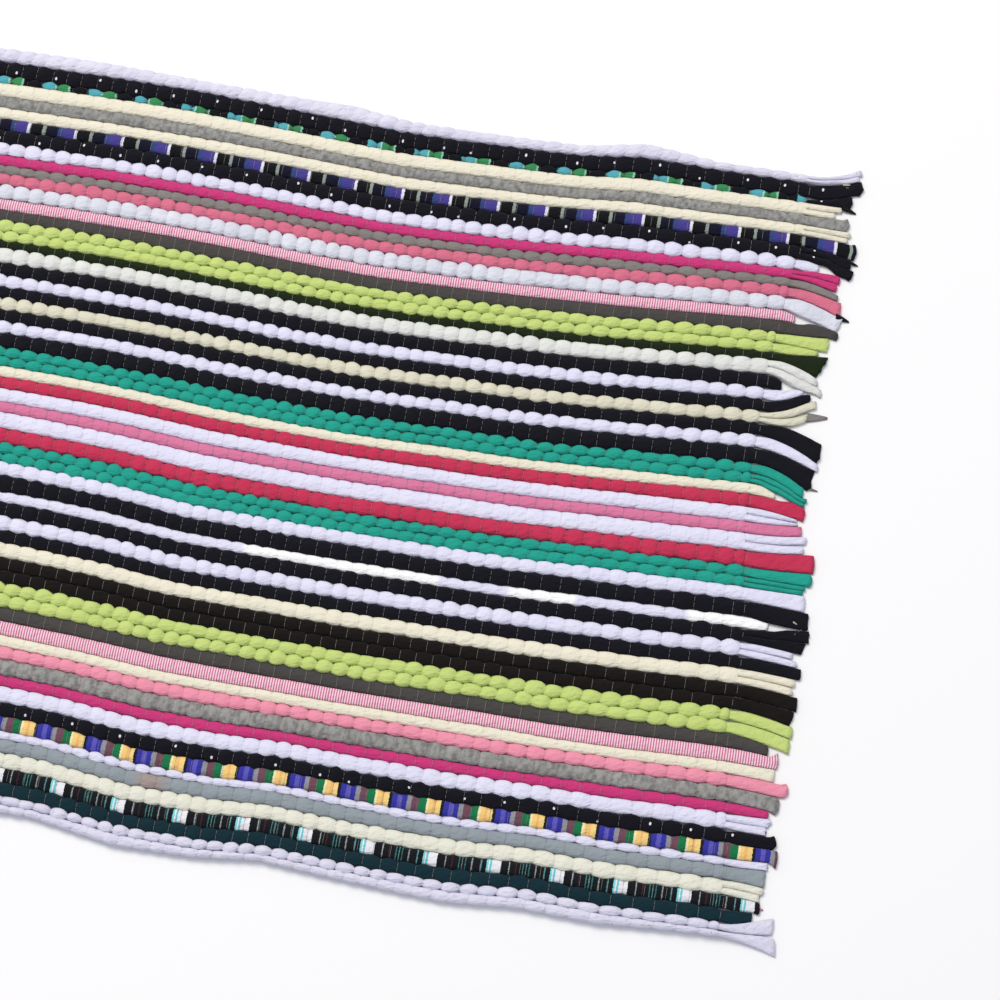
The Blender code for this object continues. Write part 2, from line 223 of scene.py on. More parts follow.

# Each cotton's colour, its second tone for the mottle, and the tint of the painted shade in its grooves, at
# the threads and on its underside.
cottons = {
    "edgeWhite": {"tint": "#E6E5F2", "turned": "#CFCDE2", "paintedShadeTint": "#B0AFC8", "fleck": "#75738A"},
    "lavenderWhite": {"tint": "#E6E5F6", "turned": "#D9D8EE", "paintedShadeTint": "#9C9BBB"},
    "bleachedWhite": {"tint": "#E6E5F6", "turned": "#D9D8EE", "paintedShadeTint": "#9C9BBB", "bright": "#FCFCFC"},
    "wrinkledWhite": {"tint": "#E6E8F2", "turned": "#C9CCD8", "paintedShadeTint": "#8D90A0"},
    "offWhite": {"tint": "#E7E8E4", "turned": "#D6D8D3", "paintedShadeTint": "#96998F"},
    "ivory": {"tint": "#EBEADB", "turned": "#DCDCCB", "paintedShadeTint": "#9D9C8A"},
    "cream": {"tint": "#EEEAD6", "turned": "#E4DEC8", "paintedShadeTint": "#A89C7C"},
    "paleCream": {"tint": "#E3E0CC", "turned": "#D2CFB8", "paintedShadeTint": "#98937A"},
    "black": {"tint": "#0E0E16", "turned": "#14141D", "paintedShadeTint": "#8888A0"},
    "brownBlack": {"tint": "#120F0D", "turned": "#1A1512", "paintedShadeTint": "#8A807A"},
    "greenBlack": {"tint": "#17210F", "turned": "#1F2B15", "paintedShadeTint": "#7F8A78"},
    "darkTeal": {"tint": "#0D2630", "turned": "#14323B", "paintedShadeTint": "#70828A"},
    "charcoal": {"tint": "#43413F", "turned": "#4D4A48", "paintedShadeTint": "#9A9693"},
    "taupe": {"tint": "#8E8986", "turned": "#7B7673", "paintedShadeTint": "#7E7976"},
    "greyMelange": {"tint": "#A8A7A3", "turned": "#8B8A87", "paintedShadeTint": "#8A8986", "streak": "#6E6D6B"},
    "blueGrey": {"tint": "#98A1A7", "turned": "#8B949B", "paintedShadeTint": "#838C94", "stain": "#A98D80"},
    "magenta": {"tint": "#CF3F7D", "turned": "#C13673", "paintedShadeTint": "#A83A6C"},
    "rosePink": {"tint": "#DA7790", "turned": "#CE6A84", "paintedShadeTint": "#B46078"},
    "pink": {"tint": "#DC7FA3", "turned": "#D17398", "paintedShadeTint": "#B8688A"},
    "salmon": {"tint": "#F09BB0", "turned": "#E68DA4", "paintedShadeTint": "#C07088"},
    "red": {"tint": "#CA3A5A", "turned": "#BA3050", "paintedShadeTint": "#9A3450"},
    "lime": {"tint": "#C9DA84", "turned": "#BED077", "paintedShadeTint": "#ADC06C"},
    "teal": {"tint": "#27A592", "turned": "#229887", "paintedShadeTint": "#4E9C90"},
    "pinkStripe": {"tint": "#F5DAE3", "turned": "#F0D0DB", "paintedShadeTint": "#C07A8C", "stripe": "#CB6F90"},
    "blackDotted": {"tint": "#0D0D15", "turned": "#13131C", "paintedShadeTint": "#8888A0", "dot": "#DEDEE4"},
    "turquoisePrint": {
        "tint": "#57B3C0", "turned": "#4AA6B4", "paintedShadeTint": "#5A8A94",
        "repeat": 37.3, "start": 25.0, "ragged": 1.2,
        "blocks": (
            (0.0, "#55A9B4"), (0.28, "#A9D3C4"), (0.31, "#3B8A57"), (0.56, "#8FC4AC"), (0.60, "#101218"),
        ),
    },
    "purplePrint": {
        "tint": "#443C8C", "turned": "#3D3580", "paintedShadeTint": "#706C98",
        "repeat": 37.2, "start": 9.0, "ragged": 0.7,
        "blocks": (
            (0.0, "#34457A"), (0.10, "#473E8A"), (0.345, "#DEDEE6"), (0.405, "#101116"), (0.67, "#8E998E"),
            (0.735, "#121226"),
        ),
    },
    "colouredPrint": {
        "tint": "#3B3A96", "turned": "#35348A", "paintedShadeTint": "#706C88",
        "repeat": 37.0, "start": 15.0, "ragged": 0.7,
        "blocks": (
            (0.0, "#F1E2B4"), (0.04, "#F2CC7A"), (0.12, "#EDB774"), (0.17, "#F2D084"), (0.27, "#1C1D28"),
            (0.33, "#36369A"), (0.43, "#5C58B4"), (0.52, "#35359A"), (0.62, "#8E8E94"), (0.71, "#6E4A58"),
            (0.85, "#1B7448"),
        ),
    },
    "blockPrint": {
        "tint": "#15171B", "turned": "#1B1D22", "paintedShadeTint": "#80848C",
        "repeat": 44.9, "start": 24.7, "ragged": 0.6,
        "blocks": (
            (0.0, "#7FD3D8"), (0.03, "#E9EAEE"), (0.05, "#6CC6CE"), (0.08, "#E7E7EC"), (0.22, "#15171B"),
            (0.345, "#9BA4A6"), (0.36, "#15171B"), (0.45, "#4A2530"), (0.465, "#15171B"), (0.56, "#3C7A7A"),
            (0.575, "#15171B"), (0.61, "#5C8E8C"), (0.625, "#15171B"), (0.66, "#35706F"), (0.675, "#15171B"),
            (0.76, "#8C9698"), (0.78, "#15171B"), (0.90, "#5E8E92"), (0.92, "#15171B"),
        ),
    },
}

# A dot's size and where it may lie, as shares of its repeat and of the way round the rag.
printDots = {"repeat": 34.0, "size": 0.85, "along": (0.2, 0.68), "around": (0.42, 0.66)}

# Stretches of the bleached rag, along the rug, and how soon they fade out.
brightStretches = ((32.0, 181.0), (229.0, 282.0), (360.0, 423.0))
brightFade = 4.0

crossStripes = {"spacing": 1.9, "share": 0.5}
ragStain = {"place": (4.0, -251.0, 5.0), "size": 15.0, "strength": 0.6}

# The thread that binds the rags: two-ply carpet warp in raw cotton, dull and a little hairy.
bindingThread = {
    "shader": {"Roughness": 0.85, "IOR": 1.47, "Sheen Weight": 0.1},
    "plyDepth": 0.1,
    "radius": 0.14,
    "tint": "#9C9A96",
    # darker colour of the painted shade between the two plies
    "turned": "#84827E",
    "sides": 4,
    "twistLength": 2.4,
    "overPoints": (1.0, 0.85, 0.5, 0.0, -0.5, -0.85, -1.0),  # on a rag, as shares of its half width
    "under": 0.32,          # height of its middle under a rag
    "raised": 0.05,         # how high its middle lies over a rag's face
    "sunk": -0.3,           # and how deep in soft pale rags
    "sunkIn": (
        "cream", "paleCream", "ivory", "lavenderWhite", "edgeWhite", "wrinkledWhite", "offWhite",
        "bleachedWhite", "lime", "pinkStripe", "salmon",
    ),
    "secondThread": 1.3,    # how far past the end line the doubled thread lies
    "pieces": 2,
}


def linearColour(code):
    parts = [int(code[place:place + 2], 16) / 255 for place in (1, 3, 5)]
    linear = [part / 12.92 if part <= 0.04045 else ((part + 0.055) / 1.055) ** 2.4 for part in parts]
    return (*linear, 1.0)


# A node with its settings and links. A setting is an input's name or number, or an attribute.
def addNode(tree, kind, settings, links=None):
    node = tree.nodes.new(kind)
    for key, value in settings.items():
        if isinstance(key, str) and hasattr(node, key) and key not in node.inputs:
            setattr(node, key, value)
    for key, value in settings.items():
        if isinstance(key, int) or key in node.inputs:
            node.inputs[key].default_value = value
    for key, socket in (links or {}).items():
        tree.links.new(socket, node.inputs[key])
    return node


def newMaterial(name, settings):
    material = bpy.data.materials.new(name)
    material.use_nodes = True
    shader = material.node_tree.nodes["Principled BSDF"]
    for key, value in settings.items():
        shader.inputs[key].default_value = value
    return material, material.node_tree, shader


# Result of a maths node. Each value is a number or a socket.
def calculate(tree, operation, *values):
    numbers = {place: value for place, value in enumerate(values) if isinstance(value, float)}
    sockets = {place: value for place, value in enumerate(values) if place not in numbers}
    return addNode(tree, "ShaderNodeMath", {"operation": operation, **numbers}, sockets).outputs[0]


# A value that goes from low to high while the source goes from start to end.
def remap(tree, source, start, end, low, high):
    return addNode(tree, "ShaderNodeMapRange", {1: start, 2: end, 3: low, 4: high}, {0: source}).outputs[0]


def makeNoise(tree, place, scale, detail, roughness=0.5):
    settings = {"Scale": scale, "Detail": detail, "Roughness": roughness}
    return addNode(tree, "ShaderNodeTexNoise", settings, {"Vector": place}).outputs["Fac"]


def drawOut(tree, place, scale):
    return addNode(tree, "ShaderNodeMapping", {"Scale": scale}, {"Vector": place}).outputs[0]


def layBump(tree, height, depth, strength, below=None):
    links = {"Height": height}
    if below is not None:
        links["Normal"] = below
    return addNode(tree, "ShaderNodeBump", {"Distance": depth * mm, "Strength": strength}, links).outputs[0]


# A share of one colour over another, which is a code or a socket.
def layColour(tree, share, under, code, blend="MIX"):
    settings = {"data_type": "RGBA", "blend_type": blend, 7: linearColour(code)}
    links = {0: share}
    if isinstance(under, str):
        settings[6] = linearColour(under)
    else:
        links[6] = under
    return addNode(tree, "ShaderNodeMix", settings, links).outputs[2]


# Way along the rag or thread in metres, and share of the way round it, as one and as two sockets.
def ragPlace(tree):
    rag = addNode(tree, "ShaderNodeUVMap", {"uv_map": "rag"}).outputs["UV"]
    parts = addNode(tree, "ShaderNodeSeparateXYZ", {}, {0: rag}).outputs
    return rag, parts["X"], parts["Y"]


# Cut cotton: mottled colour, painted shade in the grooves, at the threads and on the underside, soft
# creases, pleats at the threads and fine wales.
def cutCotton(name):
    look = cottons[name]
    material, tree, shader = newMaterial(name, jersey["shader"])
    rag, along, around = ragPlace(tree)
    place = addNode(tree, "ShaderNodeTexCoord", {}).outputs["Object"]
    litShare = addNode(tree, "ShaderNodeAttribute", {"attribute_name": "litShare"}).outputs["Fac"]
    gather = addNode(tree, "ShaderNodeAttribute", {"attribute_name": "gather"}).outputs["Fac"]

    if "blocks" in look:
        colour = printColour(tree, look, along, place)
    else:
        mottle = makeNoise(tree, place, 1 / (jersey["mottleSize"] * mm), 3.0)
        colour = layColour(tree, mottle, look["tint"], look["turned"])
    if "streak" in look:
        colour = addStreaks(tree, look, colour, rag)
    if "stripe" in look:
        colour = addCrossStripes(tree, look, colour, along)
    if "dot" in look:
        colour = addDots(tree, look, colour, along, around)
    if "fleck" in look:
        colour = addFlecks(tree, look, colour, place)
    if "stain" in look:
        colour = addStain(tree, look, colour, place)
    if "bright" in look:
        colour = addStretches(tree, look, colour, along)
    # Painted shade: the colour is multiplied towards the shade tint where the lit share is low, in the
    # grooves, at the threads' cinches and on the underside.
    depth = remap(tree, litShare, 0.0, 0.8, jersey["paintedGrooveShade"], 0.0)
    shaded = layColour(tree, depth, colour, look["paintedShadeTint"], "MULTIPLY")
    tree.links.new(shaded, shader.inputs["Base Color"])

    crease = makeNoise(tree, place, 1 / (jersey["creaseSize"] * mm), 2.0)
    creased = layBump(tree, crease, jersey["creaseDepth"], 0.8)
    slanted = calculate(tree, "MULTIPLY_ADD", around, jersey["twist"] * mm, along)
    twisted = addNode(tree, "ShaderNodeCombineXYZ", {}, {0: slanted, 1: around}).outputs[0]
    pleat = makeNoise(tree, drawOut(tree, twisted, jersey["pleatScale"]), 1.0, 1.5)
    held = remap(tree, gather, 0.0, 1.0, jersey["foldShare"], 1.0)
    pleated = layBump(tree, calculate(tree, "MULTIPLY", pleat, held), jersey["pleatDepth"], 1.0, creased)
    wales = calculate(tree, "MULTIPLY", around, 2 * math.pi * jersey["girth"] / jersey["waleSpacing"])
    knitted = layBump(tree, calculate(tree, "SINE", wales), jersey["waleDepth"], 0.7, pleated)
    tree.links.new(knitted, shader.inputs["Normal"])
    return material


# A woven or printed repeat along the rag, with ragged block edges.
def printColour(tree, look, along, place):
    fray = makeNoise(tree, place, jersey["frayScale"], 1.0)
    low = -(look["ragged"] + look["start"]) / look["repeat"]
    high = (look["ragged"] - look["start"]) / look["repeat"]
    shift = remap(tree, fray, 0.0, 1.0, low, high)
    counted = calculate(tree, "MULTIPLY_ADD", along, 1 / (look["repeat"] * mm), shift)
    chart = addNode(tree, "ShaderNodeValToRGB", {}, {0: calculate(tree, "FRACT", counted)})
    ramp = chart.color_ramp
    ramp.interpolation = "CONSTANT"
    while len(ramp.elements) < len(look["blocks"]):
        ramp.elements.new(0.99)
    for element, (start, code) in zip(ramp.elements, look["blocks"]):
        element.position = start
        element.color = linearColour(code)
    return chart.outputs[0]


# Dark and light bars of a melange yarn, 4 mm long and drawn out across the rag.
def addStreaks(tree, look, colour, rag):
    yarn = makeNoise(tree, drawOut(tree, rag, jersey["streakScale"]), 1.0, 2.0)
    return layColour(tree, remap(tree, yarn, 0.42, 0.66, 0.0, 0.8), colour, look["streak"])


def addCrossStripes(tree, look, colour, along):
    counted = calculate(tree, "MULTIPLY", along, 1 / (crossStripes["spacing"] * mm))
    dark = calculate(tree, "LESS_THAN", calculate(tree, "FRACT", counted), crossStripes["share"])
    return layColour(tree, dark, colour, look["stripe"])


# One small dot in each repeat, somewhere on the upper side.
def addDots(tree, look, colour, along, around):
    counted = calculate(tree, "MULTIPLY", along, 1 / (printDots["repeat"] * mm))
    cell = calculate(tree, "FLOOR", counted)
    chance = addNode(tree, "ShaderNodeTexWhiteNoise", {"noise_dimensions": "1D"}, {"W": cell})
    chances = addNode(tree, "ShaderNodeSeparateXYZ", {}, {0: chance.outputs["Color"]}).outputs
    alongPlace = remap(tree, chances["X"], 0.0, 1.0, *printDots["along"])
    aroundPlace = remap(tree, chances["Y"], 0.0, 1.0, *printDots["around"])
    runs = calculate(tree, "SUBTRACT", calculate(tree, "FRACT", counted), alongPlace)
    turns = calculate(tree, "SUBTRACT", around, aroundPlace)
    away = addNode(tree, "ShaderNodeCombineXYZ", {}, {0: runs, 1: turns}).outputs[0]
    lengths = {"operation": "MULTIPLY", 1: (printDots["repeat"], jersey["girth"], 0.0)}
    scaled = addNode(tree, "ShaderNodeVectorMath", lengths, {0: away}).outputs[0]
    far = addNode(tree, "ShaderNodeVectorMath", {"operation": "LENGTH"}, {0: scaled}).outputs["Value"]
    return layColour(tree, calculate(tree, "LESS_THAN", far, printDots["size"]), colour, look["dot"])


# Grey flecks strewn at random over the edge rags.
def addFlecks(tree, look, colour, place):
    lint = makeNoise(tree, place, jersey["lintScale"], 2.0, 0.6)
    return layColour(tree, remap(tree, lint, 0.64, 0.8, 0.0, 0.7), colour, look["fleck"])


def addStain(tree, look, colour, place):
    middle = {"operation": "DISTANCE", 1: toPlace(*ragStain["place"])}
    away = addNode(tree, "ShaderNodeVectorMath", middle, {0: place}).outputs["Value"]
    size = ragStain["size"] * mm
    share = remap(tree, away, 0.3 * size, size, ragStain["strength"], 0.0)
    return layColour(tree, share, colour, look["stain"])


def addStretches(tree, look, colour, along):
    for first, last in brightStretches:
        half = 0.5 * (last - first) * mm
        away = calculate(tree, "SUBTRACT", along, 0.5 * (first + last) * mm)
        share = remap(tree, calculate(tree, "ABSOLUTE", away), half - brightFade * mm, half, 1.0, 0.0)
        colour = layColour(tree, share, colour, look["bright"])
    return colour


# Raw cotton warp: the shade between its two plies is painted as slanting darker bars, with a matching bump.
def warpCotton():
    material, tree, shader = newMaterial("rawCottonWarp", bindingThread["shader"])
    rag, along, around = ragPlace(tree)
    turned = calculate(tree, "MULTIPLY_ADD", along, 2 / (bindingThread["twistLength"] * mm), around)
    ply = calculate(tree, "SINE", calculate(tree, "MULTIPLY", turned, 2 * math.pi))
    share = remap(tree, ply, -1.0, 1.0, 0.0, 1.0)
    mixed = layColour(tree, share, bindingThread["turned"], bindingThread["tint"])
    tree.links.new(mixed, shader.inputs["Base Color"])
    tree.links.new(layBump(tree, share, bindingThread["plyDepth"], 0.8), shader.inputs["Normal"])
    return material


# Layout

def toPlace(along, across, height):
    return ((along - cloth["middleAlong"]) * mm, (across - cloth["middleAcross"]) * mm, height * mm)


# Value of a table's column between its rows, on straight lines.
def between(table, at, column):
    for low, high in zip(table, table[1:]):
        if at <= high[0] or high is table[-1]:
            share = min(1.0, max(0.0, (at - low[0]) / (high[0] - low[0])))
            return low[column] + share * (high[column] - low[column])


def bow(along):
    turn = 2 * math.pi * (along - cloth["bowLowAt"]) / cloth["bowLength"]
    return 0.5 * cloth["bowRise"] * (1 - math.cos(turn))


halfWidth = 0.5 * sum(rag[1] for rag in rags)
ragLines = [halfWidth - sum(rag[1] for rag in rags[:count]) for count in range(len(rags) + 1)]


def endLine(side, across):
    if side > 0:
        return between(rightLine, across, 1)
    return cloth["leftEnd"] - cloth["leftEndBow"] * math.cos(math.pi * across / halfWidth)


# Places of the binding threads along the rug, half a lump apart, with an even number of gaps.
def spaceThreads():
    left, right = cloth["leftEnd"], cloth["rightEnd"]
    places = [left]
    while places[-1] < right or len(places) % 2 == 0:
        places.append(places[-1] + 0.5 * between(lumpLengths, places[-1], 1))
    stretch = (right - left) / (places[-1] - left)
    return [left + stretch * (place - left) for place in places]


threadPlaces = spaceThreads()
lastThread = len(threadPlaces) - 1


def middleOf(index):
    return 0.5 * (ragLines[index] + ragLines[index + 1])


# Place along the rug of a point that is counted in threads from the left end.
def alongAt(thread, across):
    low = min(int(thread), lastThread - 1)
    along = threadPlaces[low] + (thread - low) * (threadPlaces[low + 1] - threadPlaces[low])
    share = (along - cloth["leftEnd"]) / (cloth["rightEnd"] - cloth["leftEnd"])
    pull = max(0.0, 1 - (1 - share) / cloth["endPull"]) ** 2
    push = max(0.0, 1 - share / cloth["endPull"]) ** 2
    stray = cloth["threadStray"] * min(1.0, 20 * share, 20 * (1 - share))
    along += stray * noise.noise(Vector((0.7 * thread, across / 40, 0.0)))
    along += pull * (endLine(1, across) - cloth["rightEnd"])
    return along + push * (endLine(-1, across) - cloth["leftEnd"])


# How far the rows lie to the near side there.
def rowShift(along, across):
    if across >= sectionPlaces[0]:
        return between(sections, along, 2)
    for number, (far, near) in enumerate(zip(sectionPlaces, sectionPlaces[1:])):
        if across >= near or number == len(sectionPlaces) - 2:
            share = min(1.0, (far - across) / (far - near))
            first, second = between(sections, along, number + 2), between(sections, along, number + 3)
            return first + share * (second - first)


# Line between two rags, with the wave, the swell of the long edges and a little wander.
def lineAt(index, along):
    across = ragLines[index] + bow(along)
    if index == 0:
        return across + between(sections, along, 1)
    if index == len(rags):
        return across - between(sections, along, len(sectionPlaces) + 2)
    wander = noise.noise(Vector((along / cloth["wanderLength"], 7.3 * index, 0.0)))
    return across - rowShift(along, ragLines[index]) + cloth["wander"] * wander


# Round a rag or thread: shares of the way round from its underside, with the far side first.
def ringPoints(angles, roundness):
    points = []
    for angle in angles:
        side, up = math.sin(math.radians(angle)), -math.cos(math.radians(angle))
        side = math.copysign(abs(side) ** (2 / roundness), side)
        up = math.copysign(abs(up) ** (2 / roundness), up)
        points.append((side, up, angle / 360))
    return points


ragRing = ringPoints((0, 50, 90, 115, 145, 180, 215, 245, 270, 310, 360), cloth["roundness"])
endAngles = (0, 60, 90, 112, 128, 146, 163, 180, 197, 214, 232, 248, 270, 300, 360)
endRing = ringPoints(endAngles, cloth["endRoundness"])
threadSides = bindingThread["sides"]
threadRing = ringPoints([360 * step / threadSides + 45 for step in range(threadSides + 1)], 2)

# Mesh

# A tube rolled from a grid, closed at both ends. Place gives each point with its share of light for the
# painted shade and its gather, runs the metres along at each column, and strip the spot on the bake's map.
def rollTube(columns, ring, place, runs, cotton, strip):
    tube = bmesh.new()
    ragMap = tube.loops.layers.uv.new("rag")
    bakeMap = tube.loops.layers.uv.new("OFBake")
    litShare = tube.verts.layers.float.new("litShare")
    gather = tube.verts.layers.float.new("gather")
    bmesh.ops.create_grid(tube, x_segments=columns - 1, y_segments=len(ring) - 1, size=0.5)
    spots = {}
    for vert in tube.verts:
        spots[vert] = (round((vert.co.x + 0.5) * (columns - 1)), round((vert.co.y + 0.5) * (len(ring) - 1)))
    for face in tube.faces:
        face.smooth = True
        face.material_index = cotton
        first = min(spots[vert][0] for vert in face.verts)
        for loop in face.loops:
            column, row = spots[loop.vert]
            around = ring[row][2]
            loop[ragMap].uv = (runs[column], around)
            loop[bakeMap].uv = strip(column / (columns - 1), first / (columns - 1), around)
    for vert, (column, row) in spots.items():
        vert.co, vert[litShare], vert[gather] = place(column, row)
    bmesh.ops.remove_doubles(tube, verts=tube.verts, dist=1e-7)
    closed = bmesh.ops.holes_fill(tube, edges=[edge for edge in tube.edges if edge.is_boundary], sides=0)
    for face in closed["faces"]:
        face.material_index = cotton
        for loop in face.loops:
            beside = loop.link_loop_radial_next.link_loop_next
            loop[ragMap].uv = beside[ragMap].uv
            loop[bakeMap].uv = beside[bakeMap].uv
    bmesh.ops.recalc_face_normals(tube, faces=tube.faces)
    return tube


def storeMesh(name, mesh):
    data = bpy.data.meshes.new(name)
    mesh.to_mesh(data)
    mesh.free()
    return data


def joinTube(piece, tube):
    data = storeMesh("tube", tube)
    piece.from_mesh(data)
    bpy.data.meshes.remove(data)


def addObject(name, data):
    holder = bpy.data.objects.new(name, data)
    bpy.context.scene.collection.objects.link(holder)
    return holder


def finishPiece(name, mesh, materials):
    data = storeMesh(name, mesh)
    for material in materials:
        data.materials.append(material)
    piece = addObject(name, data)
    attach(piece, "root")
    return piece


# Where a strip of the bake's map lies: each rag's length is cut into a few strips.
def stripPlacer(number, perRag, total):
    ends, sides = cloth["stripMargins"]

    def strip(share, first, around):
        part = min(perRag - 1, int(first * perRag + 1e-6))
        row = number * perRag + part + sides + (1 - 2 * sides) * around
        return (ends + (1 - 2 * ends) * (share * perRag - part), row / total)

    return strip


# Threads that cross over a rag. The doubled last one holds every rag at both ends.
def crossings(index):
    inner = [thread for thread in range(1, lastThread) if (thread - index) % 2 == 0]
    return [0, *inner, lastThread]


# How lumpy a rag is there. Some stretches of a rag lie smoother than others.
def lumpAt(index, along):
    change = noise.noise(Vector((along / cloth["lumpChange"], 5.1 * index, 9.0)))
    least, most = cloth["lumpLimits"]
    return rags[index][3] * min(most, max(least, cloth["lumpMean"] + cloth["lumpSpread"] * change))


def cinchHalf(index, along, width):
    return 0.5 * width - cloth["pinch"] * lumpAt(index, along)


def cinchTop(index, along):
    return rags[index][2] * (1 - cloth["cinchDrop"] * min(1.0, lumpAt(index, along)))


# Where the stations of a lump lie, from one thread to the next.
lumpShares = (0.0, 0.10, 0.28, 0.50, 0.72, 0.90)


def weaveRag(index, number, total, cotton):
    rise, lump, lean = rags[index][2:5]
    rng = random.Random(100 + index)
    stations = []
    threads = crossings(index)
    for low, high in zip(threads, threads[1:]):
        size = rng.uniform(*cloth["swells"]) * min(1.0, 0.5 * (high - low))
        height = rise * rng.uniform(*cloth["rises"])
        slide = rng.uniform(-cloth["slide"], cloth["slide"]) * lump
        for share in lumpShares:
            stations.append((low + share * (high - low), share, size, height, slide))
    stations.append((lastThread, 0.0, 1.0, rise, 0.0))
    cells = []
    for thread, share, size, height, slide in stations:
        along = alongAt(thread, middleOf(index))
        far, near = lineAt(index, along), lineAt(index + 1, along)
        arc = (4 * share * (1 - share)) ** cloth["lumpPower"]
        local = lumpAt(index, along)
        swell = cloth["bulge"] * size * arc - cloth["pinch"] * (1 - arc)
        half = 0.5 * (far - near) + local * swell
        low = cinchTop(index, along)
        top = low + (height - low) * arc
        bottom = cloth["undersideLift"] * local * arc
        cells.append((along, 0.5 * (far + near) + slide * arc, half, top, bottom, arc))

    def place(column, row):
        along, middle, half, top, bottom, arc = cells[column]
        side, up = ragRing[row][:2]
        held = min(1.0, 40 * min(column, len(cells) - 1 - column) / len(cells))
        fold = cloth["pleat"] * (1 - arc) * (1 if row % 2 else -1)
        spot = Vector((along / cloth["crumpleLength"], 2.2 * side, 3.1 * index))
        fold += cloth["crumple"] * arc * noise.noise(spot)
        fold *= lump * held * max(0.0, 0.3 + 0.7 * up)
        height = 0.5 * (top + bottom) + (0.5 * (top - bottom) + fold) * up
        shift = lean * held * side * half * (0.5 + 0.5 * up)
        point = toPlace(along + shift, middle + side * (half + fold), height)
        # Share of light for the painted shade: lower on the underside and at the threads' cinches.
        litShare = max(0.0, 0.35 + 0.65 * up) * (1 - lump * 0.45 * (1 - arc))
        return point, litShare, (1 - arc) ** 2

    runs = [cell[0] * mm for cell in cells]
    strip = stripPlacer(number, cloth["stripsPerRag"], total)
    return rollTube(len(cells), ragRing, place, runs, cotton, strip)


def makeBands(materials):
    bands = []
    rows = cloth["bandRows"]
    for first in range(0, len(rags), rows):
        band = bmesh.new()
        chosen = rags[first:first + rows]
        used = sorted({rag[0] for rag in chosen})
        for number, rag in enumerate(chosen):
            tube = weaveRag(first + number, number, rows * cloth["stripsPerRag"], used.index(rag[0]))
            joinTube(band, tube)
        piece = finishPiece(f"rags_band_{first // rows + 1}", band, [materials[name] for name in used])
        bands.append((piece, sum(rag[1] for rag in chosen)))
    return bands


# One binding thread, over one rag and under the next.
def laceThread(thread, shift, first, strip):
    points = []
    for index in range(len(rags)):
        along = alongAt(thread, middleOf(index)) + shift
        far, near = lineAt(index, along), lineAt(index + 1, along)
        middle = 0.5 * (far + near)
        if (index - first) % 2:
            points.append((along, middle, bindingThread["under"]))
            continue
        half = cinchHalf(index, along, far - near)
        top = cinchTop(index, along)
        bed = bindingThread["sunk" if rags[index][0] in bindingThread["sunkIn"] else "raised"]
        for share in bindingThread["overPoints"]:
            rise = (1 - abs(share) ** cloth["roundness"]) ** (1 / cloth["roundness"])
            points.append((along, middle + share * half, 0.5 * top * (1 + rise) + bed))
    spots = [Vector(toPlace(*point)) for point in points]
    runs = [0.0]
    for low, high in zip(spots, spots[1:]):
        runs.append(runs[-1] + (high - low).length)
    radius = bindingThread["radius"] * mm

    def place(column, row):
        side, up = threadRing[row][:2]
        ahead = spots[min(column + 1, len(spots) - 1)] - spots[max(column - 1, 0)]
        ahead.normalize()
        out = Vector((1.0, 0.0, 0.0))
        over = ahead.cross(out)
        if over.z < 0:
            over.negate()
        return spots[column] + radius * (side * out + up * over), 1.0, 0.0

    return rollTube(len(spots), threadRing, place, runs, 0, strip)


def makeThreads(material):
    laid = [(thread, 0.0, thread % 2) for thread in range(lastThread + 1)]
    laid.append((lastThread, bindingThread["secondThread"], 1 - lastThread % 2))
    laid.append((0, -bindingThread["secondThread"], 1))
    laid.sort(key=lambda lay: lay[0] + 0.1 * lay[1])
    perPiece = math.ceil(len(laid) / bindingThread["pieces"])
    pieces = []
    for start in range(0, len(laid), perPiece):
        mesh = bmesh.new()
        for number, (thread, shift, first) in enumerate(laid[start:start + perPiece]):
            joinTube(mesh, laceThread(thread, shift, first, stripPlacer(number, 1, perPiece)))
        pieces.append(finishPiece(f"binding_threads_{len(pieces) + 1}", mesh, [material]))
    return pieces


# Fringe

fringe = {
    "stepsOut": (0, 8, 16, 24, 32, 40, 48, 56),
    "straight": 5.0,        # how far out from the last thread an end keeps its root's width
    "bend": 1.6,
    "gap": 0.2,             # least gap between two ends, and the least width of one
    "thinnest": 1.3,
    "closeUp": 2.4,         # how far an end widens into a gap beside it
    "pushes": 12,
    "tipHeight": 2.8,
    "inside": 1.5,          # how far an end starts inside the woven part
    "opening": 9.0,         # how soon an end opens out from the thread's pinch
    "pinchShare": 0.8,
    "tipFrom": 0.55,        # share of the length from where the tip's cut shapes an end
    "tipCrinkle": 1.9,      # of the ragged cut
    "tipDrop": 0.45,        # share of its height that the cut edge keeps
    "fold": 0.55,           # of the folds that run along an end
    "foldWidth": 2.6,
    "foldLength": 16.0,
    "stations": 13,
    "leftSeed": 7,
    "leftReach": (30.0, 44.0),
    "leftDrift": 4.0,
    "leftDriftTurn": 0.55,
    "leftTip": (0.55, 0.9),
}

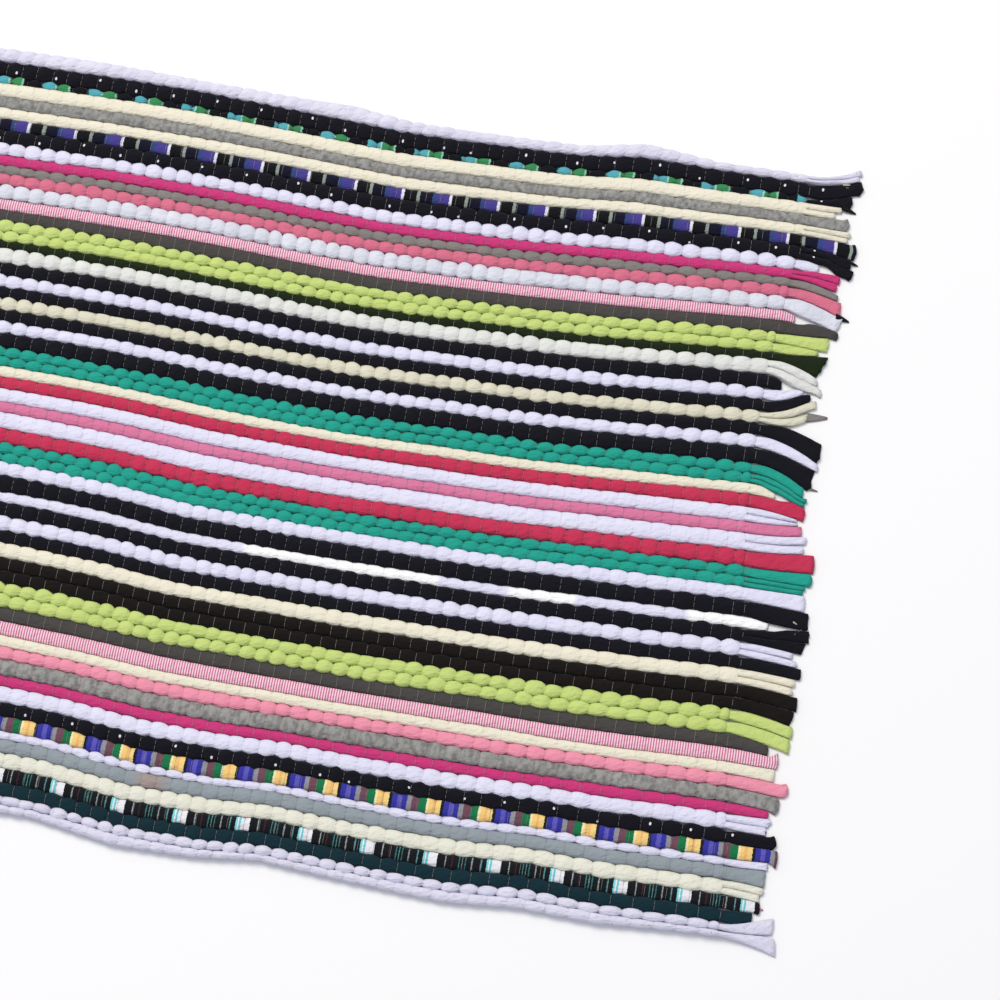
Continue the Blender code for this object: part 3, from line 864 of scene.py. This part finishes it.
# How a rag's cut ends are formed, by the rag's number from the far edge: the reach of
# its plies as shares, the gap between their tips, how far the far corner stands out past the near
# one, how far the corners are rounded back, how ragged the cut is, and how high the end lies.
plainForm = {"plies": (1.0,), "split": 0.0, "slant": 0.0, "round": 0.6, "ragged": 0.7, "raise": 0.0}
endForms = {
    1: {"plies": (1.0, 0.96), "slant": -1.5, "raise": 1.2},
    2: {"ragged": 2.2},
    3: {"ragged": 3.0, "cotton": "blackDotted"},
    4: {"plies": (1.0, 0.84), "split": 0.5},
    5: {"round": 2.5},
    6: {"plies": (1.0, 0.96), "split": 0.4},
    7: {"round": 1.5},
    8: {"plies": (0.96, 1.0), "ragged": 2.6},
    10: {"plies": (1.0, 0.96)},
    13: {"slant": 3.0, "ragged": 1.6, "raise": 1.2},
    15: {"slant": 1.0},
    18: {"slant": 7.0, "ragged": 2.6},
    19: {"plies": (0.9, 1.0), "ragged": 2.0, "raise": 1.4},
    23: {"plies": (1.0, 0.86), "split": 2.0, "ragged": 1.6, "raise": 0.9},
    24: {"slant": 2.0, "ragged": 2.0},
    26: {"slant": 2.0, "ragged": 3.2},
    27: {"raise": 0.5},
    28: {"plies": (1.0, 0.97)},
    31: {"plies": (0.97, 1.0), "split": 0.8, "round": 1.4},
    33: {"plies": (1.0, 0.98), "split": 1.6},
    34: {"slant": -1.0, "round": 0.9, "raise": 0.6},
    35: {"round": 2.0},
    36: {"plies": (1.0, 0.97), "round": 1.4},
    38: {"ragged": 2.2},
    40: {"plies": (1.0, 0.93), "ragged": 3.4},
    41: {"plies": (0.9, 1.0), "split": 1.0},
    43: {"plies": (1.0, 0.98), "split": 0.6, "round": 1.6},
    45: {"slant": 3.0, "ragged": 1.8},
    51: {"round": 2.6},
    52: {"round": 2.6},
    54: {"plies": (1.0, 0.92), "ragged": 3.0},
    55: {"round": 2.2},
    57: {"ragged": 2.0},
    59: {"plies": (1.0, 0.95), "ragged": 2.6},
    60: {"ragged": 1.6},
    62: {"raise": 0.8},
    63: {"slant": -2.0},
}

# Frayed bits at the cut ends on the right: cotton, where each starts on or under its rag, where it
# ends on the floor, its width, and the height of its start.
looseBits = (
    ("paleCream", (431.3, 300.9), (445.2, 303.4), 1.6, 3.7),
    ("taupe", (433.9, 298.7), (444.8, 300.7), 1.2, 3.7),
    ("brownBlack", (432.8, 282.0), (444.3, 278.9), 5.0, 3.4),
    ("black", (443.8, 236.5), (451.1, 235.3), 3.0, 3.4),
    ("black", (439.5, 190.1), (450.0, 187.7), 5.0, 3.4),
    ("taupe", (421.0, 103.6), (443.5, 106.9), 8.0, 2.3),
    ("taupe", (432.0, 49.4), (443.6, 47.8), 2.8, 2.2),
    ("paleCream", (438.5, -56.4), (448.7, -60.2), 1.4, 3.7),
    ("taupe", (440.5, -66.0), (448.3, -57.1), 1.2, 3.7),
    ("salmon", (436.2, -267.2), (445.0, -268.2), 3.5, 3.4),
)
looseForm = {"stations": 7, "thickness": 1.7, "tipTop": 1.1, "tipShare": 0.25}


# A smooth curve through values, at a place counted from the first.
def smooth(values, at):
    low = min(int(at), len(values) - 2)
    share = at - low
    before = values[max(low - 1, 0)]
    first, second = values[low], values[low + 1]
    after = values[min(low + 2, len(values) - 1)]
    slopeIn, slopeOut = 0.5 * (second - before), 0.5 * (after - first)
    square, cube = share * share, share ** 3
    return (
        (2 * cube - 3 * square + 1) * first + (cube - 2 * square + share) * slopeIn
        + (3 * square - 2 * cube) * second + (cube - square) * slopeOut
    )


# Where a cut end's two sides would lie that far out, if it had no neighbours.
def wantedSides(root, cut, out):
    reach, drift, tip = cut
    share = min(1.0, max(0.0, (out - fringe["straight"]) / (reach - fringe["straight"]))) ** fringe["bend"]
    middle = 0.5 * (root[0] + root[1]) + drift
    goals = (middle + 0.5 * tip, middle - 0.5 * tip)
    return [start + share * (goal - start) for start, goal in zip(root, goals)]


# Neighbours that would overlap give way to each other, those with a gap widen into it, and a
# last pass keeps them all apart.
def pushApart(sides):
    for _ in range(fringe["pushes"]):
        for upper, lower in zip(sides, sides[1:]):
            overlap = max(0.0, lower[0] + fringe["gap"] - upper[1])
            upper[1] += 0.5 * overlap
            lower[0] -= 0.5 * overlap
            upper[0] = max(upper[0], upper[1] + fringe["thinnest"])
            lower[1] = min(lower[1], lower[0] - fringe["thinnest"])
    for upper, lower in zip(sides, sides[1:]):
        spare = min(fringe["closeUp"], max(0.0, 0.5 * (upper[1] - lower[0] - fringe["gap"])))
        upper[1] -= spare
        lower[0] += spare
    limit = 1000.0
    for pair in sides:
        pair[0] = min(pair[0], limit)
        pair[1] = min(pair[1], pair[0] - fringe["thinnest"])
        limit = pair[1] - fringe["gap"]


# Far and near side of every cut end at each step out from the end line.
def strandLines(side, cuts):
    roots = []
    for index in range(len(rags)):
        end = endLine(side, middleOf(index))
        roots.append((lineAt(index, end), lineAt(index + 1, end)))
    lines = [[] for _ in rags]
    before = -1.0
    for out in fringe["stepsOut"]:
        present = [index for index, cut in enumerate(cuts) if cut[0] > before]
        sides = [wantedSides(roots[index], cuts[index], out) for index in present]
        pushApart(sides)
        for index, pair in zip(present, sides):
            lines[index].append(pair)
        before = out
    return lines


# One ply of a cut end, from a share of the end's width to another.
def drawPly(index, side, line, cut, form, ply, strip, cotton):
    rng = random.Random(500 + 10 * index + ply)
    plies = form["plies"]
    start = endLine(side, middleOf(index))
    reach = cut[0] * plies[ply]
    inset = fringe["pinchShare"] * cloth["pinch"] * lumpAt(index, start)
    rootTop = cinchTop(index, start)
    seed = rng.uniform(0.0, 90.0)
    columns = fringe["stations"]
    gap = form["split"] if len(plies) > 1 else 0.0
    cells = []
    for column in range(columns):
        share = column / (columns - 1)
        out = -fringe["inside"] + share * (reach + fringe["inside"])
        at = min(max(0.0, out) / fringe["stepsOut"][1], len(line) - 1.001)
        far, near = smooth([pair[0] for pair in line], at), smooth([pair[1] for pair in line], at)
        drawn = inset * max(0.0, 1 - max(0.0, out) / fringe["opening"])
        far, near = far - drawn, near + drawn
        near = min(near, far - 1.0)
        width = (far - near) / len(plies)
        parted = 0.5 * gap * share ** 2
        first = far - ply * width - (parted if ply else 0.0)
        last = far - (ply + 1) * width + (parted if ply < len(plies) - 1 else 0.0)
        arch = form["raise"] * math.sin(math.pi * min(1.0, 1.3 * share))
        top = rootTop + share * (fringe["tipHeight"] - rootTop) + arch
        cells.append((out, first, min(last, first - 0.8), top, share))
    out, first, last, top, share = cells[-1]
    cells.append((reach + 0.3, first - 0.2, last + 0.2, fringe["tipDrop"] * top, 1.0))
    runs = [(start + side * cell[0]) * mm for cell in cells]

    def place(column, row):
        out, far, near, top, share = cells[column]
        across, up = endRing[row][:2]
        half = 0.5 * (far - near)
        tipward = max(0.0, (share - fringe["tipFrom"]) / (1 - fringe["tipFrom"])) ** 2
        uneven = form["ragged"] * noise.noise(Vector((fringe["tipCrinkle"] * across, seed, 0.0)))
        along = out + tipward * (0.5 * form["slant"] * across - form["round"] * across ** 2 + uneven)
        spot = Vector((across * half / fringe["foldWidth"], along / fringe["foldLength"], seed))
        folds = noise.noise(spot)
        height = 0.5 * top * (1 + up) + fringe["fold"] * folds * max(0.0, up) * min(1.0, 0.4 + 2 * share)
        point = toPlace(start + side * along, 0.5 * (far + near) + across * half, max(0.02, height))
        # Share of light for the painted shade on the cut ends: lower on the underside and in the folds'
        # hollows.
        return point, min(1.0, max(0.0, 0.5 + 0.5 * up + 0.35 * folds)), 0.2

    return rollTube(len(cells), endRing, place, runs, cotton, strip)


# One frayed bit, which lies on or under its rag and drops to the floor past the rag's end.
def drawBit(bit, strip, cotton):
    start, end, width, height = bit[1:]
    columns = looseForm["stations"]
    runs = [(start[0] + math.dist(start, end) * column / (columns - 1)) * mm for column in range(columns)]

    def place(column, row):
        share = column / (columns - 1)
        side, up = ragRing[row][:2]
        half = 0.5 * width * (1 - (1 - looseForm["tipShare"]) * share ** 2)
        along = start[0] + share * (end[0] - start[0])
        across = start[1] + share * (end[1] - start[1]) + side * half
        bottom = (height - looseForm["thickness"]) * (1 - share)
        top = height + share * (looseForm["tipTop"] - height)
        point = toPlace(along, across, 0.5 * (bottom + top) + 0.5 * (top - bottom) * up)
        # Share of light for the painted shade on a frayed bit: lower on its underside.
        return point, 0.6 + 0.4 * up, 0.3

    return rollTube(columns, ragRing, place, runs, cotton, strip)


# The fringe at one end, on the right where side is 1 and on the left where it is -1.
def makeFringe(name, side, cuts, bits, materials):
    used = sorted({rag[0] for rag in rags})
    lines = strandLines(side, cuts)
    total = 2 * len(rags) + len(bits)
    mesh = bmesh.new()
    for index, cut in enumerate(cuts):
        form = {**plainForm, "cotton": rags[index][0], **endForms.get(index + 1, {})}
        cotton = used.index(form["cotton"])
        for ply in range(len(form["plies"])):
            strip = stripPlacer(2 * index + ply, 1, total)
            joinTube(mesh, drawPly(index, side, lines[index], cut, form, ply, strip, cotton))
    for number, bit in enumerate(bits):
        joinTube(mesh, drawBit(bit, stripPlacer(2 * len(rags) + number, 1, total), used.index(bit[0])))
    return finishPiece(name, mesh, [materials[key] for key in used])


# Reach, drift and tip width of the cut ends on the left, which the photo doesn't show.
def leftCuts():
    rng = random.Random(fringe["leftSeed"])
    cuts = []
    for index, rag in enumerate(rags):
        reach = rng.uniform(*fringe["leftReach"])
        drift = fringe["leftDrift"] * math.sin(fringe["leftDriftTurn"] * index) + rng.uniform(-1.0, 1.0)
        cuts.append((reach, drift, rag[1] * rng.uniform(*fringe["leftTip"])))
    return cuts


# Studio

def addCamera():
    data = bpy.data.cameras.new("photoView")
    data.lens = cameraView["lens"]
    data.sensor_width = cameraView["sensor"]
    holder = addObject("photoView", data)
    holder.location = cameraView["place"]
    holder.rotation_euler = (math.radians(cameraView["tilt"]), 0.0, math.radians(cameraView["turn"]))
    bpy.context.scene.camera = holder


def addStudio():
    mesh = bmesh.new()
    bmesh.ops.create_grid(mesh, x_segments=2, y_segments=2, size=0.5 * studio["floorSize"])
    data = storeMesh("studioFloor", mesh)
    settings = {"Roughness": 0.9, "Base Color": linearColour(studio["floorColour"])}
    data.materials.append(newMaterial("paintedFloor", settings)[0])
    addObject("studioFloor", data)

    lamp = bpy.data.lights.new("softKey", "AREA")
    lamp.size = studio["keySize"]
    lamp.energy = studio["keyPower"]
    lamp.color = linearColour(studio["keyColour"])[:3]
    holder = addObject("softKey", lamp)
    holder.location = studio["keyPlace"]
    aim = Vector(studio["keyAim"]) - Vector(studio["keyPlace"])
    holder.rotation_euler = aim.to_track_quat("-Z", "Y").to_euler()

    world = bpy.data.worlds.new("studioSky")
    world.use_nodes = True
    sky = world.node_tree.nodes["Background"]
    sky.inputs["Color"].default_value = linearColour(studio["skyColour"])
    sky.inputs["Strength"].default_value = studio["skyStrength"]
    bpy.context.scene.world = world
    bpy.context.scene.view_settings.view_transform = "Standard"


addCamera()
addStudio()
print("camera, floor and lights are up")

cottonMaterials = {name: cutCotton(name) for name in cottons}
print("cottons:", len(cottonMaterials))

bands = makeBands(cottonMaterials)
print("woven rags:", sum(len(piece.data.polygons) for piece, width in bands), "faces")

threadPieces = makeThreads(warpCotton())
print("binding threads:", sum(len(piece.data.polygons) for piece in threadPieces), "faces")

fringeRight = makeFringe("rag_ends_right", 1, [rag[5:8] for rag in rags], looseBits, cottonMaterials)
fringeLeft = makeFringe("rag_ends_left", -1, leftCuts(), (), cottonMaterials)
print("fringes:", len(fringeRight.data.polygons) + len(fringeLeft.data.polygons), "faces")

for piece, width in bands:
    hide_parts("woven_cloth")
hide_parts("fringe_right")
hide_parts("fringe_left")
